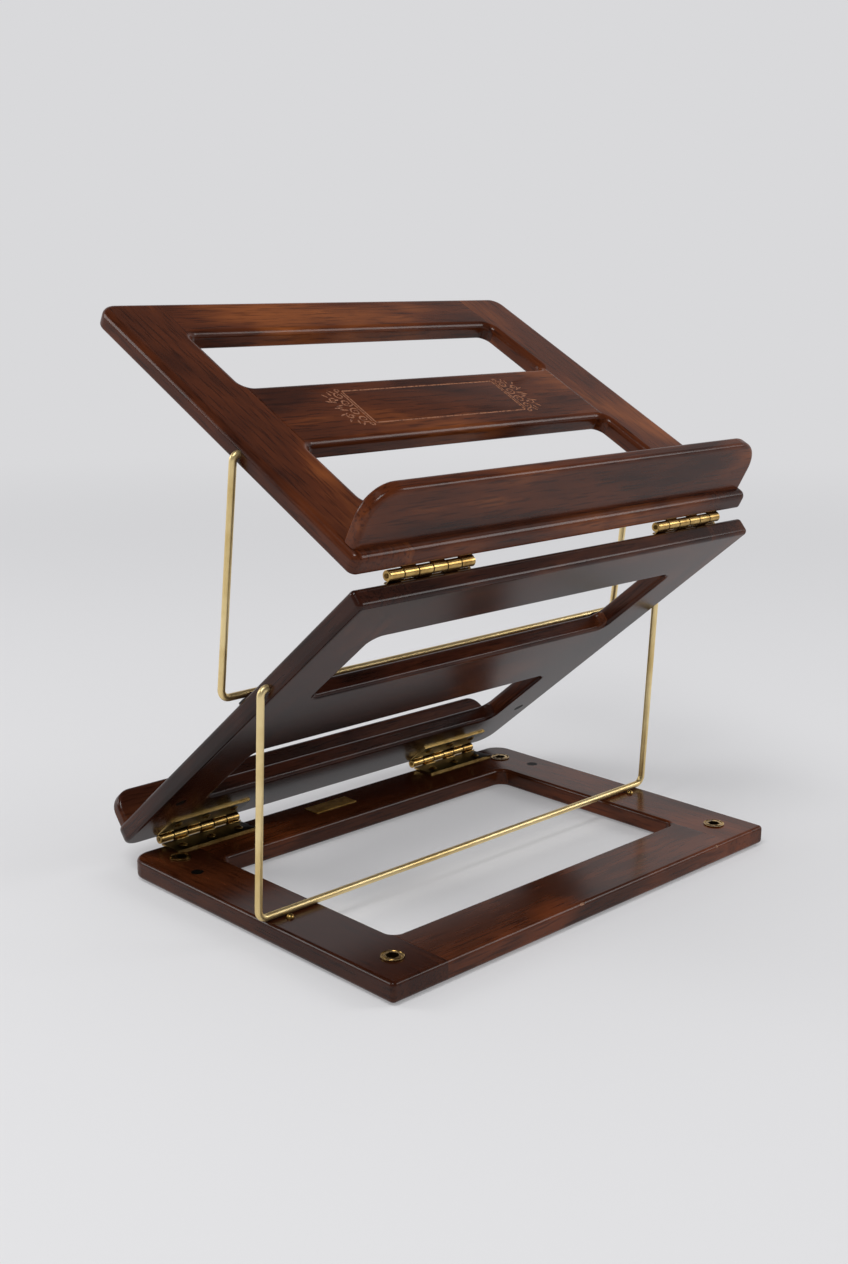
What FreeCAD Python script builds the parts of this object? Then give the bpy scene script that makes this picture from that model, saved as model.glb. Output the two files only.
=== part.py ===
import FreeCAD, Part
import math
import os
import Sketcher
from FreeCAD import Vector

# A folding two-tier book stand: a flat base frame, a middle frame hinged to its back and a
# sloping top board hinged to the middle frame's upper end. Two brass wire bails hold them up.
# X runs across the stand, the reader sits on the -Y side, and the table is at Z = 0.

doc = FreeCAD.newDocument("BookStand")
sheet = doc.addObject("Spreadsheet::Sheet", "Sizes")

SIZES = (
    ("stand_width", 350),
    # base frame
    ("base_depth", 253), ("base_thickness", 12.5), ("base_side_width", 42),
    ("base_front_width", 45), ("base_back_width", 44.5), ("base_back_corner", 14),
    ("base_edge_round", 2.5),
    # middle frame, lengths run from its lower end
    ("lean_angle", 40), ("middle_length", 312), ("middle_thickness", 12), ("middle_side_width", 40.5),
    ("middle_lower_width", 55), ("middle_centre_start", 123.5), ("middle_centre_width", 71),
    ("middle_upper_width", 45.5), ("middle_end_corner", 14), ("middle_edge_round", 3),
    # top board, lengths run from its front edge
    ("slope_angle", 27.8), ("top_length", 265.5), ("top_thickness", 12), ("top_side_width", 42.5),
    ("top_front_width", 45), ("top_centre_start", 103.5), ("top_centre_width", 62.5),
    ("top_back_width", 38), ("top_front_corner", 5), ("top_back_corner", 11), ("top_face_round", 4.5),
    ("top_under_round", 2),
    # shared by the frames
    ("sharp_corner", 3), ("opening_corner", 7), ("tenon_length", 12), ("tenon_share", 0.6),
    # ledges
    ("ledge_end_gap", 2.5), ("ledge_thickness", 10), ("ledge_setback", 6.5), ("ledge_edge_round", 3),
    ("top_ledge_height", 36), ("top_ledge_corner", 21), ("middle_ledge_height", 22),
    ("middle_ledge_corner", 13),
    # butt hinges
    ("axis_setback", 4), ("barrel_gap", 0.3), ("hinge_overhang", 6), ("upper_axis_gap", 1),
    ("top_axis_gap", 0.5), ("hinge_length", 65), ("hinge_inset", 26.5), ("leaf_width", 22),
    ("leaf_thickness", 1.2), ("knuckle_radius", 2.9), ("knuckle_gap", 0.3), ("pin_radius", 1.4),
    ("pin_clearance", 0.05), ("pin_overhang", 0.5), ("barrel_room", 0.4),
    ("screw_pitch", 23), ("screw_line", 14), ("screw_radius", 1.4), ("screw_depth", 8),
    ("screw_head_radius", 3.1), ("screw_head_height", 1.2), ("screw_clearance", 0.05),
    ("pilot_end_gap", 0.5),
    # wire bails
    ("wire_radius", 2.25), ("wire_clearance", 0.08), ("wire_end_depth", 9), ("pivot_end_gap", 0.3),
    ("bend_radius", 6), ("lower_arm_gap", 2.3), ("upper_arm_gap", 1.4), ("lower_pivot_reach", 207.5),
    ("lower_bar_place", -16), ("upper_pivot_reach", 108.5), ("upper_bar_reach", 169),
    ("bar_clearance", 0.3),
    # fittings
    ("foot_height", 1.5), ("foot_radius", 7), ("insert_inset", 23), ("insert_leaf_gap", 0.2),
    ("insert_flange_radius", 7), ("insert_flange_height", 0.8),
    ("insert_body_radius", 5), ("insert_socket_width", 7.2), ("insert_socket_depth", 4),
    ("insert_bore_radius", 2.5), ("magnet_radius", 4), ("magnet_depth", 3), ("magnet_inset", 16.5),
    ("magnet_reach", 57), ("stop_inset", 15), ("stop_head_radius", 2.6), ("stop_head_height", 2.4),
    ("stop_gap", 0.3), ("plate_across", -16), ("plate_inset", 17), ("plate_length", 37),
    ("plate_width", 13), ("plate_thickness", 0.5), ("rest_inset", 20), ("rest_length", 16),
    ("rest_width", 14), ("fold_gap", 0.4), ("rest_groove", 0.3),
)
for row, (alias, value) in enumerate(SIZES, start=1):
    sheet.set(f"A{row}", alias.replace("_", " "))
    sheet.set(f"B{row}", str(value))
    sheet.setAlias(f"B{row}", alias)
doc.recompute()

nodes = []
# Edges are picked by place, to within this many millimetres.
NEAR = 0.01
SIDES = (("left", -1), ("right", 1))


def of(text):
    """The expression with each name in braces taken from the sheet."""
    return text.replace("{", "Sizes.").replace("}", "")


def bind(item, **sizes):
    """Ties properties of an object to expressions on the sheet."""
    for name, text in sizes.items():
        item.setExpression(name.replace("__", "."), of(text))
    return item


def vector(across, along, up):
    return f"create(<<vector>>; {across}; {along}; {up})"


def turn(angle, axis=(1, 0, 0)):
    return f"create(<<rotation>>; create(<<vector>>; {axis[0]}; {axis[1]}; {axis[2]}); {angle})"


def place(across="0", along="0", up="0", rotation=turn("0")):
    return f"create(<<placement>>; {vector(across, along, up)}; {rotation})"


def node(item, name, placement):
    """Names a finished sub-part and puts it where it belongs on the stand."""
    item.Label = name
    item.setExpression("Placement", of(placement))
    nodes.append(item)
    return item


def box(name, start, size):
    """A plain box from its lowest corner and its three sizes."""
    item = doc.addObject("Part::Box", name)
    bind(item, Length=size[0], Width=size[1], Height=size[2])
    bind(item, Placement__Base__x=start[0], Placement__Base__y=start[1], Placement__Base__z=start[2])
    return item


def rod(name, start, radius, length, axis=(1, 0, 0), angle="0"):
    """A cylinder that stands on start, turned by angle about axis."""
    item = doc.addObject("Part::Cylinder", name)
    bind(item, Radius=radius, Height=length, Placement=place(*start, turn(angle, axis)))
    return item


def joined(name, parts):
    item = doc.addObject("Part::MultiFuse", name)
    item.Shapes = parts
    return item


def boolean(kind, name, base, tool):
    item = doc.addObject(f"Part::{kind}", name)
    item.Base, item.Tool = base, tool
    return item


def edge_names(feature, wanted):
    """The names of a feature's edges whose middle point and direction pass a test."""
    names = []
    for number, edge in enumerate(feature.Shape.Edges, start=1):
        middle = edge.valueAt((edge.FirstParameter + edge.LastParameter) / 2)
        if wanted(edge, middle):
            names.append(f"Edge{number}")
    return names


def rounded(body, name, base, wanted, radius):
    """A fillet on the chosen edges of the body's last feature."""
    doc.recompute()
    fillet = body.newObject("PartDesign::Fillet", name)
    fillet.Base = (base, edge_names(base, wanted))
    bind(fillet, Radius=radius)
    return fillet


# Places of the two hinge lines and the frames. Each frame is drawn flat: its underside is at
# height 0, and its length runs along +Y from the end named in its own section.
AXIS_LIFT = "({knuckle_radius} + {barrel_gap})"
HINGE_LINE = "({base_depth} / 2 + {axis_setback})"
LOWER_AXIS_UP = f"({{foot_height}} + {{base_thickness}} + {AXIS_LIFT})"
UPPER_REACH = "({middle_length} - {hinge_overhang} + {upper_axis_gap})"
UPPER_RISE = f"({{middle_thickness}} + 2 * {AXIS_LIFT})"
UPPER_AXIS_ALONG = (f"({HINGE_LINE} - {UPPER_REACH} * cos({{lean_angle}})"
                    f" + {UPPER_RISE} * sin({{lean_angle}}))")
UPPER_AXIS_UP = (f"({LOWER_AXIS_UP} + {UPPER_REACH} * sin({{lean_angle}})"
                 f" + {UPPER_RISE} * cos({{lean_angle}}))")
HALF_TURN = turn("180", (0, 0, 1))
BASE_PLACE = place("0", "-{base_depth} / 2", "{foot_height}")
LOWER_AXIS_PLACE = place("0", HINGE_LINE, LOWER_AXIS_UP, turn("-{lean_angle}"))
MIDDLE_PLACE = f"{LOWER_AXIS_PLACE} * {place('0', '{hinge_overhang}', AXIS_LIFT, HALF_TURN)}"
UPPER_AXIS_PLACE = place("0", UPPER_AXIS_ALONG, UPPER_AXIS_UP, turn("{slope_angle}"))
TOP_PLACE = f"{UPPER_AXIS_PLACE} * {place('0', '{top_axis_gap}', AXIS_LIFT)}"

# Distances from the middle of the stand out to the fittings that come in pairs.
HINGE_ACROSS = "({stand_width} / 2 - {hinge_inset} - {hinge_length} / 2)"
INSERT_ACROSS = "({stand_width} / 2 - {insert_inset})"
MAGNET_ACROSS = "({stand_width} / 2 - {magnet_inset})"
STOP_ACROSS = "({stand_width} / 2 - {stop_inset})"
REST_ACROSS = "({stand_width} / 2 - {rest_inset})"
LEDGE_WIDTH = "({stand_width} - 2 * {ledge_end_gap})"


def frame_blank(name, length, thickness, side, bars, corners, rounds):
    """One frame as a single routed board: outline, openings between its cross bars, rounded edges.

    bars holds the start and end of each cross bar along the frame, corners the outer corner
    radius at the near and far end, rounds the edge rounding on the face and underneath."""
    body = doc.addObject("PartDesign::Body", f"{name}_blank")
    board = body.newObject("PartDesign::AdditiveBox", f"{name}_board")
    bind(board, Length="{stand_width}", Width=length, Height=thickness,
         Placement__Base__x="-{stand_width} / 2")
    last = board
    for number in range(len(bars) - 1):
        opening = body.newObject("PartDesign::SubtractiveBox", f"{name}_opening_{number + 1}")
        start, end = bars[number][1], bars[number + 1][0]
        bind(opening, Length=f"{{stand_width}} - 2 * {side}", Width=f"{end} - ({start})",
             Height=thickness, Placement__Base__x=f"{side} - {{stand_width}} / 2",
             Placement__Base__y=start)
        last = opening
    doc.recompute()
    half, reach = board.Length.Value / 2, board.Width.Value
    top = board.Height.Value

    def upright(edge):
        return abs(edge.tangentAt(edge.FirstParameter).z) > 0.9

    def outer(middle):
        return abs(abs(middle.x) - half) < NEAR

    last = rounded(body, f"{name}_near_corners", last,
                   lambda edge, m: upright(edge) and outer(m) and m.y < reach / 2, corners[0])
    last = rounded(body, f"{name}_far_corners", last,
                   lambda edge, m: upright(edge) and outer(m) and m.y > reach / 2, corners[1])
    last = rounded(body, f"{name}_opening_corners", last,
                   lambda edge, m: upright(edge) and not outer(m) and NEAR < m.y < reach - NEAR,
                   "{opening_corner}")
    last = rounded(body, f"{name}_face_edges", last, lambda edge, m: abs(m.z - top) < NEAR, rounds[0])
    last = rounded(body, f"{name}_under_edges", last, lambda edge, m: abs(m.z) < NEAR, rounds[1])
    doc.recompute()
    return body


def divided(name, blank, holes, length, thickness, side, bars, bar_names, placement):
    """Parts a drilled frame at its joints: two full-length stiles and tenoned rails between them."""
    drilled = boolean("Cut", f"{name}_drilled", blank, joined(f"{name}_holes", holes))
    inner = f"({{stand_width}} / 2 - {side})"
    tenons = []
    for (start, end), bar in zip(bars, bar_names):
        width = f"({end} - ({start}))"
        tenons.append(box(f"{name}_{bar}_tenon",
                          (f"-{inner} - {{tenon_length}}", f"{start} + {width} * (1 - {{tenon_share}}) / 2",
                           f"{thickness} / 3"),
                          (f"2 * {inner} + 2 * {{tenon_length}}", f"{width} * {{tenon_share}}",
                           f"{thickness} / 3")))
    for hand, sign in (("left", -1), ("right", 1)):
        # The middle frame is turned round, so its left stile is drawn on the +X side.
        if name == "middle":
            sign = -sign
        start = f"-{{stand_width}} / 2 - 1" if sign < 0 else inner
        strip = box(f"{name}_{hand}_strip", (start, "-1", "-1"),
                    (f"{side} + 1", f"{length} + 2", f"{thickness} + 2"))
        stile = boolean("Common", f"{name}_{hand}_uncut", drilled, strip)
        mortises = joined(f"{name}_{hand}_mortises", tenons)
        node(boolean("Cut", f"{name}_{hand}_part", stile, mortises), f"{name}_{hand}_stile", placement)
    for number, bar in enumerate(bar_names):
        low = "-1" if number == 0 else f"({bars[number - 1][1]} + {bars[number][0]}) / 2"
        high = (f"{length} + 1" if number == len(bars) - 1
                else f"({bars[number][1]} + {bars[number + 1][0]}) / 2")
        strip = box(f"{name}_{bar}_strip", (f"-{inner}", low, "-1"),
                    (f"2 * {inner}", f"{high} - ({low})", f"{thickness} + 2"))
        shape = joined(f"{name}_{bar}_zone", [strip, tenons[number]])
        node(boolean("Common", f"{name}_{bar}_part", drilled, shape), f"{name}_{bar}_rail", placement)


def screw(name, across, along, face, head_radius, head_height):
    """A round-headed wood screw: a low cap of a ball on the face and a shank into the wood."""
    ball = f"(({head_radius} ^ 2 + {head_height} ^ 2) / (2 * {head_height}))"
    cap = doc.addObject("Part::Sphere", f"{name}_head")
    bind(cap, Radius=ball, Angle1=f"asin(1 - {head_height} / {ball})",
         Placement=place(across, along, f"{face} + {head_height} - {ball}"))
    cap.Angle2 = 90
    shank = rod(f"{name}_shank", (across, along, face), "{screw_radius}", f"{{screw_depth}} + {face}",
                angle="180")
    return [cap, shank]


def screw_hole(name, across, along, face, down=False):
    """The pilot hole in the wood for one screw."""
    return rod(name, (across, along, face), "{screw_radius} + {screw_clearance}",
               "{screw_depth} + {pilot_end_gap}", angle="0" if down else "180")


# Butt hinges. A leaf is drawn with its wood side at height 0, the hinge line along X over the
# origin and the plate running along +Y.
def leaf_screw_places():
    return [(f"{shift} * {{screw_pitch}}", "{screw_line}") for shift in (-1, 0, 1)]


def hinge_leaf(name, placement):
    knuckle = "(({hinge_length} - 5 * {knuckle_gap}) / 6)"
    plate_start = "({knuckle_radius} + {barrel_room})"
    metal = [box(f"{name}_plate", ("-{hinge_length} / 2", plate_start, "0"),
                 ("{hinge_length}", f"{{leaf_width}} - {plate_start}", "{leaf_thickness}"))]
    for number in (0, 2, 4):
        start = f"-{{hinge_length}} / 2 + {number} * ({knuckle} + {{knuckle_gap}})"
        metal.append(box(f"{name}_tab_{number}", (start, "0", "0"),
                         (knuckle, f"{plate_start} + {{leaf_thickness}}", "{leaf_thickness}")))
        metal.append(rod(f"{name}_knuckle_{number}", (start, "0", AXIS_LIFT), "{knuckle_radius}",
                         knuckle, (0, 1, 0), "90"))
    bore = rod(f"{name}_bore", ("-{hinge_length} / 2 - 1", "0", AXIS_LIFT),
               "{pin_radius} + {pin_clearance}", "{hinge_length} + 2", (0, 1, 0), "90")
    holes = [rod(f"{name}_hole_{number}", (across, along, "-1"), "{screw_radius} + {screw_clearance}",
                 "{leaf_thickness} + 2")
             for number, (across, along) in enumerate(leaf_screw_places())]
    leaf = boolean("Cut", f"{name}_metal", joined(f"{name}_joined", metal),
                   joined(f"{name}_cuts", [bore] + holes))
    node(leaf, name, placement)
    pieces = []
    for number, (across, along) in enumerate(leaf_screw_places()):
        pieces += screw(f"{name}_screw_{number}", across, along, "{leaf_thickness}",
                        "{screw_head_radius}", "{screw_head_height}")
    node(joined(f"{name}_screw_set", pieces), name.replace("_leaf", "_screws"), placement)


def hinge_pin(name, placement):
    start = place("-{hinge_length} / 2 - {pin_overhang}", "0", AXIS_LIFT, turn("90", (0, 1, 0)))
    pin = doc.addObject("Part::Cylinder", f"{name}_rod")
    bind(pin, Radius="{pin_radius}", Height="{hinge_length} + 2 * {pin_overhang}")
    node(pin, name, f"{placement} * {start}")


def leaf_wood_holes(name, face, line, way, down=False):
    """Pilot holes for a left and a right leaf whose plates run off from a hinge line."""
    holes = []
    for hand, sign in SIDES:
        for number, (across, along) in enumerate(leaf_screw_places()):
            holes.append(screw_hole(f"{name}_pilot_{hand}_{number}",
                                    f"{sign} * {HINGE_ACROSS} + {across}",
                                    f"{line} + {way} * {along}", face, down))
    return holes


# Base frame: drawn from its front edge, so the hinge line lies just past its far end.
BASE_BARS = (("0", "{base_front_width}"), ("{base_depth} - {base_back_width}", "{base_depth}"))
base_blank = frame_blank("base", "{base_depth}", "{base_thickness}", "{base_side_width}", BASE_BARS,
                         ("{sharp_corner}", "{base_back_corner}"), ("{base_edge_round}", "{base_edge_round}"))
BASE_MIDDLE = "({base_depth} / 2)"
BASE_AXIS = "({base_depth} + {axis_setback})"
INSERT_ALONG = (f"({BASE_MIDDLE} + {{axis_setback}} - {{leaf_width}} - {{insert_leaf_gap}}"
                " - {insert_flange_radius})")
STOP_ALONG = (f"({BASE_MIDDLE} + {{lower_bar_place}} - {{wire_radius}} - {{stop_head_radius}}"
              " - {stop_gap})")
base_holes = leaf_wood_holes("base", "{base_thickness}", BASE_AXIS, -1)
for hand, sign in SIDES:
    base_holes.append(screw_hole(f"base_stop_hole_{hand}", f"{sign} * {STOP_ACROSS}", STOP_ALONG,
                                 "{base_thickness}"))
    base_holes.append(rod(f"base_magnet_hole_{hand}",
                          (f"{sign} * {MAGNET_ACROSS}", f"{BASE_AXIS} - {{magnet_reach}}",
                           "{base_thickness} - {magnet_depth}"), "{magnet_radius}", "{magnet_depth} + 1"))
    for end, way in (("front", -1), ("back", 1)):
        base_holes.append(rod(f"base_insert_hole_{end}_{hand}",
                              (f"{sign} * {INSERT_ACROSS}",
                               f"{BASE_MIDDLE} + {way} * {INSERT_ALONG}", "-1"),
                              "{insert_body_radius}", "{base_thickness} + 2"))
divided("base", base_blank, base_holes, "{base_depth}", "{base_thickness}", "{base_side_width}",
        BASE_BARS, ("front", "back"), BASE_PLACE)

# Middle frame: drawn from its lower end, which overhangs the lower hinge line.
MIDDLE_BARS = (("0", "{middle_lower_width}"),
               ("{middle_centre_start}", "({middle_centre_start} + {middle_centre_width})"),
               ("({middle_length} - {middle_upper_width})", "{middle_length}"))
middle_blank = frame_blank("middle", "{middle_length}", "{middle_thickness}", "{middle_side_width}",
                           MIDDLE_BARS, ("{middle_end_corner}", "{sharp_corner}"),
                           ("{middle_edge_round}", "{middle_edge_round}"))
middle_holes = leaf_wood_holes("middle_under", "0", "{hinge_overhang}", 1, True)
middle_holes += leaf_wood_holes("middle_face", "{middle_thickness}",
                                "({middle_length} + {upper_axis_gap})", -1)
for hand, sign in SIDES:
    middle_holes.append(rod(f"middle_pivot_hole_{hand}",
                            (f"{sign} * ({{stand_width}} / 2 - {{wire_end_depth}} - {{pivot_end_gap}})",
                             "{hinge_overhang} + {lower_pivot_reach}", "{middle_thickness} / 2"),
                            "{wire_radius} + {wire_clearance}", "{wire_end_depth} + 2", (0, 1, 0),
                            f"{sign} * 90"))
    middle_holes.append(rod(f"middle_magnet_hole_{hand}",
                            (f"{sign} * {MAGNET_ACROSS}", "{hinge_overhang} + {magnet_reach}", "-1"),
                            "{magnet_radius}", "{magnet_depth} + 1"))
divided("middle", middle_blank, middle_holes, "{middle_length}", "{middle_thickness}",
        "{middle_side_width}", MIDDLE_BARS, ("lower", "centre", "upper"), MIDDLE_PLACE)

# Top board: drawn from its front edge, next to the upper hinge line.
TOP_BARS = (("0", "{top_front_width}"),
            ("{top_centre_start}", "({top_centre_start} + {top_centre_width})"),
            ("({top_length} - {top_back_width})", "{top_length}"))
top_blank = frame_blank("top", "{top_length}", "{top_thickness}", "{top_side_width}", TOP_BARS,
                        ("{top_front_corner}", "{top_back_corner}"),
                        ("{top_face_round}", "{top_under_round}"))
top_holes = leaf_wood_holes("top_under", "0", "-{top_axis_gap}", 1, True)
for hand, sign in SIDES:
    top_holes.append(rod(f"top_pivot_hole_{hand}",
                         (f"{sign} * ({{stand_width}} / 2 - {{wire_end_depth}} - {{pivot_end_gap}})",
                          "{upper_pivot_reach} - {top_axis_gap}", "{top_thickness} / 2"),
                         "{wire_radius} + {wire_clearance}", "{wire_end_depth} + 2", (0, 1, 0),
                         f"{sign} * 90"))
divided("top", top_blank, top_holes, "{top_length}", "{top_thickness}", "{top_side_width}",
        TOP_BARS, ("front", "centre", "back"), TOP_PLACE)


# Ledges: a board on edge across each frame, with round shoulders and a rounded top edge.
def ledge(name, tall, corner, placement):
    body = doc.addObject("PartDesign::Body", f"{name}_body")
    board = body.newObject("PartDesign::AdditiveBox", f"{name}_board")
    bind(board, Length=LEDGE_WIDTH, Width="{ledge_thickness}", Height=tall,
         Placement__Base__x=f"-{LEDGE_WIDTH} / 2")
    doc.recompute()
    half, top = board.Length.Value / 2, board.Height.Value
    last = rounded(body, f"{name}_shoulders", board,
                   lambda edge, m: abs(abs(m.x) - half) < NEAR and abs(m.z - top) < NEAR, corner)
    rounded(body, f"{name}_edges", last,
            lambda edge, m: m.z > NEAR and abs(edge.tangentAt(edge.FirstParameter).y) < 0.5,
            "{ledge_edge_round}")
    node(body, name, placement)


ledge("top_ledge", "{top_ledge_height}", "{top_ledge_corner}",
      f"{TOP_PLACE} * {place('0', '{ledge_setback}', '{top_thickness}')}")
ledge("middle_ledge", "{middle_ledge_height}", "{middle_ledge_corner}",
      f"{MIDDLE_PLACE} * {place('0', '{ledge_setback}', '{middle_thickness}')}")

# Hinges: the same leaf four times on the lower line and four times on the upper line.
LOWER_LINE_ON_BASE = place("0", BASE_AXIS, "{base_thickness}", HALF_TURN)
LOWER_LINE_ON_MIDDLE = place("0", "{hinge_overhang}", "0", turn("180", (0, 1, 0)))
UPPER_LINE_ON_MIDDLE = place("0", "{middle_length} + {upper_axis_gap}", "{middle_thickness}", HALF_TURN)
UPPER_LINE_ON_TOP = place("0", "-{top_axis_gap}", "0", turn("180", (0, 1, 0)))
for hand, sign in SIDES:
    outward = place(f"{sign} * {HINGE_ACROSS}")
    inward = place(f"{-sign} * {HINGE_ACROSS}")
    hinge_leaf(f"lower_{hand}_hinge_base_leaf", f"{BASE_PLACE} * {LOWER_LINE_ON_BASE} * {inward}")
    hinge_leaf(f"lower_{hand}_hinge_middle_leaf", f"{MIDDLE_PLACE} * {LOWER_LINE_ON_MIDDLE} * {outward}")
    hinge_pin(f"lower_{hand}_hinge_pin", f"{BASE_PLACE} * {LOWER_LINE_ON_BASE} * {inward}")
    hinge_leaf(f"upper_{hand}_hinge_middle_leaf", f"{MIDDLE_PLACE} * {UPPER_LINE_ON_MIDDLE} * {outward}")
    hinge_leaf(f"upper_{hand}_hinge_top_leaf", f"{TOP_PLACE} * {UPPER_LINE_ON_TOP} * {inward}")
    hinge_pin(f"upper_{hand}_hinge_pin", f"{MIDDLE_PLACE} * {UPPER_LINE_ON_MIDDLE} * {outward}")


# Wire bails: one brass wire each, bent to a U whose ends turn in to the frame's sides.
# A bail is drawn hanging from its pivot line, which lies along X at the origin.
def bail(name, gap, arm, placement):
    body = doc.addObject("PartDesign::Body", f"{name}_body")
    planes = {item.Role: item for item in body.Origin.OriginFeatures}
    end = "{stand_width} / 2 - {wire_end_depth}"
    out = f"{{stand_width}} / 2 + {gap} + {{wire_radius}}"

    route = body.newObject("Sketcher::SketchObject", f"{name}_route")
    route.AttachmentSupport = (planes["XZ_Plane"], "")
    route.MapMode = "FlatFace"
    # Rough places in walking order along the wire. The constraints start from the same values,
    # and their expressions then set the real ones.
    inside, side, drop, bend, thick = 160.0, 180.0, 140.0, 6.0, 2.25
    corners = ((-inside, 0), (-side, 0), (-side, -drop), (side, -drop), (side, 0), (inside, 0))
    points = [Vector(x, y, 0) for x, y in corners]
    ways = [(b - a).normalize() for a, b in zip(points, points[1:])]
    for number, way in enumerate(ways):
        start = points[number] + way * (bend if number else 0)
        finish = points[number + 1] - way * (bend if number < 4 else 0)
        route.addGeometry(Part.LineSegment(start, finish), False)
    quarter = math.pi / 2
    for number in range(4):
        centre = points[number + 1] - ways[number] * bend + ways[number + 1] * bend
        circle = Part.Circle(centre, Vector(0, 0, 1), bend)
        turned = quarter * (number + 1)
        route.addGeometry(Part.ArcOfCircle(circle, turned, turned + quarter), False)
    Constraint = Sketcher.Constraint
    for number in range(4):
        route.addConstraint(Constraint("Tangent", number, 2, 5 + number, 1))
        route.addConstraint(Constraint("Tangent", 5 + number, 2, number + 1, 1))
    for number in (0, 2, 4):
        route.addConstraint(Constraint("Horizontal", number))
    for number in (1, 3):
        route.addConstraint(Constraint("Vertical", number))
    route.addConstraint(Constraint("Equal", 5, 8))
    route.addConstraint(Constraint("Equal", 6, 7))
    route.addConstraint(Constraint("PointOnObject", 0, 1, -1))
    route.addConstraint(Constraint("PointOnObject", 4, 2, -1))
    for label, ends, rough, size in (
            ("left_end", (0, 1, -1, 1), inside, end), ("left_arm", (1, 1, -1, 1), side, out),
            ("right_arm", (-1, 1, 3, 1), side, out), ("right_end", (-1, 1, 4, 2), inside, end)):
        index = route.addConstraint(Constraint("DistanceX", *ends, rough))
        route.renameConstraint(index, label)
        route.setExpression(f"Constraints.{label}", of(size))
    index = route.addConstraint(Constraint("DistanceY", 2, 1, -1, 1, drop))
    route.renameConstraint(index, "arm")
    route.setExpression("Constraints.arm", of(arm))
    # The bend by the pivot starts just outside the wood, the one by the bar is wider.
    for label, arc, size in (("pivot_bend", 5, f"{gap} + {{wire_radius}} - {{wire_clearance}}"),
                             ("bar_bend", 6, "{bend_radius}")):
        index = route.addConstraint(Constraint("Radius", arc, bend))
        route.renameConstraint(index, label)
        route.setExpression(f"Constraints.{label}", of(size))

    section = body.newObject("Sketcher::SketchObject", f"{name}_section")
    section.AttachmentSupport = (planes["YZ_Plane"], "")
    section.MapMode = "FlatFace"
    section.setExpression("AttachmentOffset.Base.z", of(f"-({end})"))
    section.addGeometry(Part.Circle(Vector(0, 0, 0), Vector(0, 0, 1), thick), False)
    section.addConstraint(Constraint("Coincident", 0, 3, -1, 1))
    index = section.addConstraint(Constraint("Radius", 0, thick))
    section.renameConstraint(index, "wire")
    section.setExpression("Constraints.wire", of("{wire_radius}"))
    doc.recompute()

    wire = body.newObject("PartDesign::AdditivePipe", f"{name}_wire")
    wire.Profile = section
    wire.Spine = (route, [f"Edge{number}" for number in range(1, 10)])
    node(body, name, placement)


def hanging(pivot_along, pivot_up, bar_along, bar_up):
    """The arm length and the place of a bail from its pivot line and the place of its bar."""
    forward = f"({bar_along} - {pivot_along})"
    drop = f"({pivot_up} - {bar_up})"
    return (f"sqrt({forward} ^ 2 + {drop} ^ 2)",
            place("0", pivot_along, pivot_up, turn(f"atan2({forward}; {drop})")))


def on_middle(reach, lift):
    """World places along and up of a point of the middle frame, by its distance from the lower
    hinge line and its height over that line."""
    return (f"({HINGE_LINE} - {reach} * cos({{lean_angle}}) + {lift} * sin({{lean_angle}}))",
            f"({LOWER_AXIS_UP} + {reach} * sin({{lean_angle}}) + {lift} * cos({{lean_angle}}))")


def on_top(reach, lift):
    """The same for a point of the top board, from the upper hinge line."""
    return (f"({UPPER_AXIS_ALONG} + {reach} * cos({{slope_angle}}) - {lift} * sin({{slope_angle}}))",
            f"({UPPER_AXIS_UP} + {reach} * sin({{slope_angle}}) + {lift} * cos({{slope_angle}}))")


lower_pivot = on_middle("{lower_pivot_reach}", f"({AXIS_LIFT} + {{middle_thickness}} / 2)")
lower_bar_up = "({foot_height} + {base_thickness} + {wire_radius} + {bar_clearance})"
lower_arm, lower_place = hanging(*lower_pivot, "{lower_bar_place}", lower_bar_up)
bail("lower_bail", "{lower_arm_gap}", lower_arm, lower_place)

REST_HEIGHT = f"(2 * {AXIS_LIFT} - {{fold_gap}})"
GROOVE_UP = f"({REST_HEIGHT} - {{rest_groove}} + {{wire_radius}})"
upper_pivot = on_top("{upper_pivot_reach}", f"({AXIS_LIFT} + {{top_thickness}} / 2)")
upper_bar = on_middle("{upper_bar_reach}",
                      f"({AXIS_LIFT} + {{middle_thickness}} + {GROOVE_UP} + {{bar_clearance}})")
upper_arm, upper_place = hanging(*upper_pivot, *upper_bar)
bail("upper_bail", "{upper_arm_gap}", upper_arm, upper_place)

# Rest cleats: low wooden pads on the middle frame's face; the upper bail's bar sits in their
# shallow grooves, and they keep the folded frames apart.
for hand, sign in SIDES:
    pad = box(f"{hand}_rest_pad", ("-{rest_length} / 2", "-{rest_width} / 2", "0"),
              ("{rest_length}", "{rest_width}", REST_HEIGHT))
    groove = rod(f"{hand}_rest_groove", ("-{rest_length} / 2 - 1", "0", GROOVE_UP), "{wire_radius}",
                 "{rest_length} + 2", (0, 1, 0), "90")
    spot = place(f"{-sign} * {REST_ACROSS}", "{hinge_overhang} + {upper_bar_reach}", "{middle_thickness}")
    node(boolean("Cut", f"{hand}_rest", pad, groove), f"bar_rest_{hand}", f"{MIDDLE_PLACE} * {spot}")

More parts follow.
